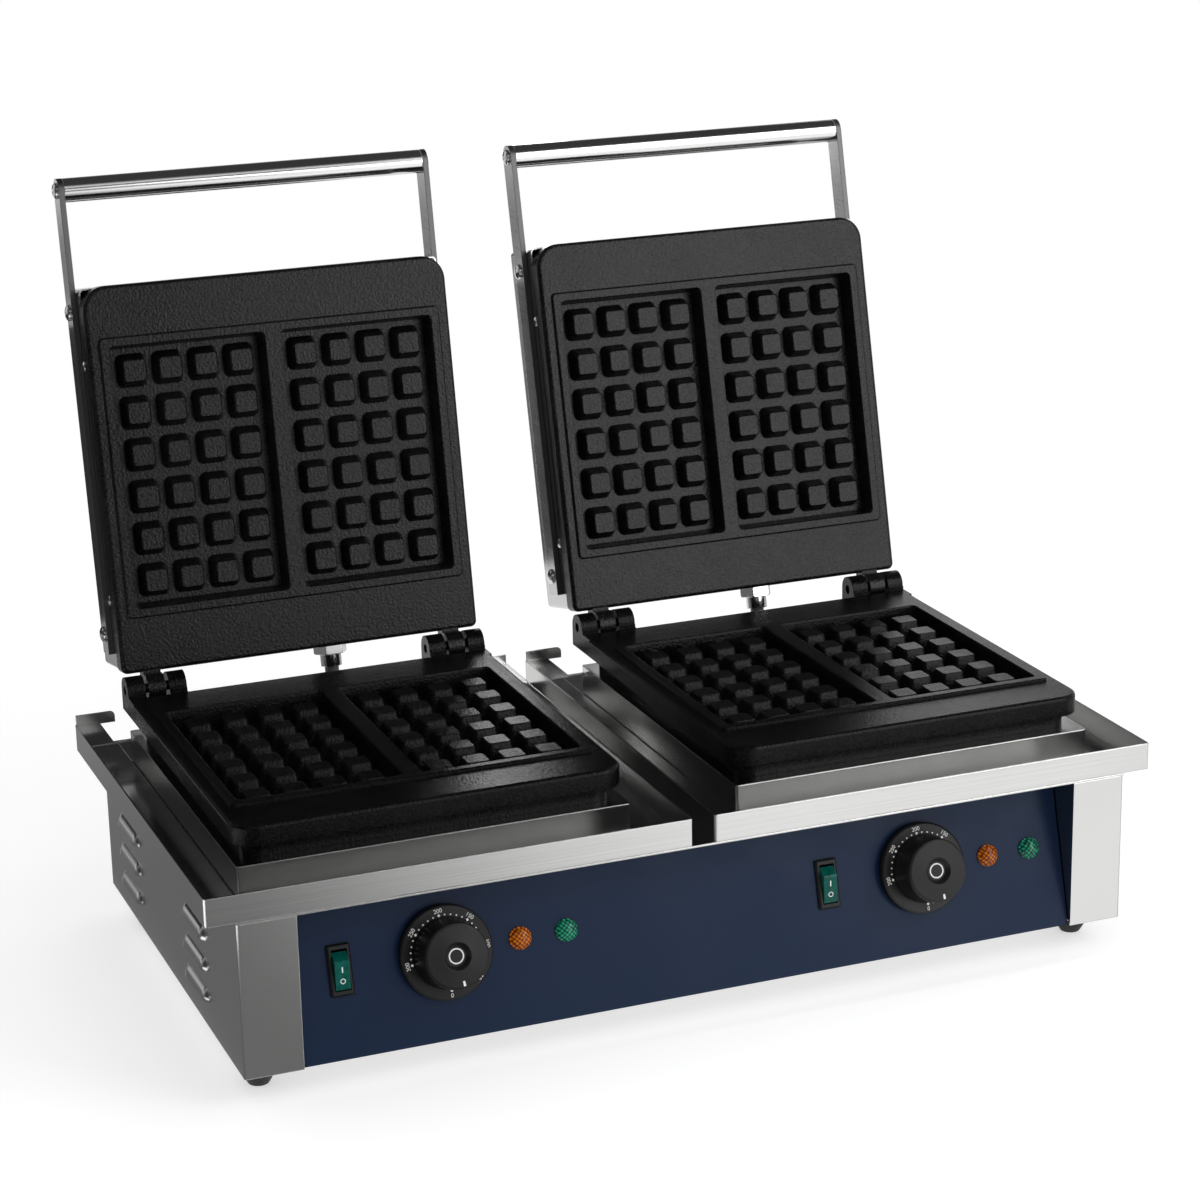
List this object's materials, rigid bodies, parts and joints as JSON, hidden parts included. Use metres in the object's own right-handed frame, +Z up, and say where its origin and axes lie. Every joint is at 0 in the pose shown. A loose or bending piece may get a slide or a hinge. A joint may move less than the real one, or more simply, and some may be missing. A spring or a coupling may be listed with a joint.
{
  "type": "double waffle maker",
  "caption": "Double commercial waffle maker: steel housing with sloped navy control panel, drip trays, and hinged cast plates with handled lids standing open.",
  "frame": {"origin": "on the floor below the middle of the whole object as it stands with open lids", "axes": "+X to the right seen from the front, +Y to the back, +Z up"},
  "size_m": [0.5844, 0.403, 0.4576],
  "materials": {
    "steel": "brushed stainless",
    "tray_steel": "brushed stainless",
    "handle_steel": "satin bright steel",
    "cast_black": "black, fine orange-peel grain, semi-gloss",
    "navy_paint": "satin navy paint",
    "black_plastic": "black, satin",
    "black_rubber": "matt black",
    "green_plastic": "translucent green",
    "amber_lens": "translucent amber lens",
    "green_lens": "translucent green lens",
    "zinc_steel": "zinc plated",
    "sleeve": "dark braided glass-fibre sleeve",
    "white_plastic": "white ceramic-filled plastic"
  },
  "bodies": {
    "base": {"side_panel_left": "steel", "side_panel_right": "steel", "rear_panel": "steel", "top_deck": "steel", "bottom_plate": "steel", "control_panel": "navy_paint", "feet": "black_rubber", "foot_bolts": "zinc_steel", "terminal_block": "white_plastic", "mains_gland": "black_plastic", "deck_bushings": "black_rubber", "hinge_pins": "zinc_steel", "amber_lamps": "amber_lens", "green_lamps": "green_lens", "plinth_left": "steel", "lower_plate_left": "cast_black", "lower_heater_left": "zinc_steel", "lower_clamp_left": "zinc_steel", "thermostat_left": "zinc_steel", "switch_housing_left": "black_plastic", "lid_lead_left": "sleeve", "plinth_right": "steel", "lower_plate_right": "cast_black", "lower_heater_right": "zinc_steel", "lower_clamp_right": "zinc_steel", "thermostat_right": "zinc_steel", "switch_housing_right": "black_plastic", "lid_lead_right": "sleeve"},
    "lid_left": {"upper_plate_left": "cast_black", "lid_cover_left": "steel", "upper_heater_left": "zinc_steel", "upper_clamp_left": "zinc_steel", "handle_arms_left": "steel", "handle_tube_left": "handle_steel", "arm_bolts_left": "handle_steel", "handle_rivets_left": "handle_steel", "cover_screws_left": "handle_steel", "lid_gland_left": "handle_steel"},
    "knob_left": {"knob_left": "black_plastic", "knob_spindle_left": "zinc_steel"},
    "rocker_left": {"rocker_left": "green_plastic"},
    "tray_left": {"drip_tray_left": "tray_steel"},
    "lid_right": {"upper_plate_right": "cast_black", "lid_cover_right": "steel", "upper_heater_right": "zinc_steel", "upper_clamp_right": "zinc_steel", "handle_arms_right": "steel", "handle_tube_right": "handle_steel", "arm_bolts_right": "handle_steel", "handle_rivets_right": "handle_steel", "cover_screws_right": "handle_steel", "lid_gland_right": "handle_steel"},
    "knob_right": {"knob_right": "black_plastic", "knob_spindle_right": "zinc_steel"},
    "rocker_right": {"rocker_right": "green_plastic"},
    "tray_right": {"drip_tray_right": "tray_steel"}
  },
  "joints": [
    {"name": "lid_left_hinge", "type": "hinge", "parent": "base", "child": "lid_left", "pos_m": [-0.1494, 0.0909, 0.1539], "axis": [1, 0, 0], "range_deg": [0, 100.5], "deforming": ["lid_lead_left"]},
    {"name": "lid_right_hinge", "type": "hinge", "parent": "base", "child": "lid_right", "pos_m": [0.1494, 0.0909, 0.1539], "axis": [1, 0, 0], "range_deg": [0, 103.5], "deforming": ["lid_lead_right"]},
    {"name": "knob_left_turn", "type": "hinge", "parent": "base", "child": "knob_left", "pos_m": [-0.1529, -0.1733, 0.06606], "axis": [0, 0.9655, -0.2605], "range_deg": [0, 280]},
    {"name": "rocker_left_tilt", "type": "hinge", "parent": "base", "child": "rocker_left", "pos_m": [-0.2139, -0.1704, 0.06528], "axis": [-1, 0, 0], "range_deg": [0, 12]},
    {"name": "tray_left_slide", "type": "slide", "parent": "base", "child": "tray_left", "axis": [0, -1, 0], "range_m": [0, 0.24]},
    {"name": "knob_right_turn", "type": "hinge", "parent": "base", "child": "knob_right", "pos_m": [0.1459, -0.1733, 0.06606], "axis": [0, 0.9655, -0.2605], "range_deg": [0, 280]},
    {"name": "rocker_right_tilt", "type": "hinge", "parent": "base", "child": "rocker_right", "pos_m": [0.0849, -0.1704, 0.06528], "axis": [-1, 0, 0], "range_deg": [0, 12]},
    {"name": "tray_right_slide", "type": "slide", "parent": "base", "child": "tray_right", "axis": [0, -1, 0], "range_m": [0, 0.24]}
  ]
}
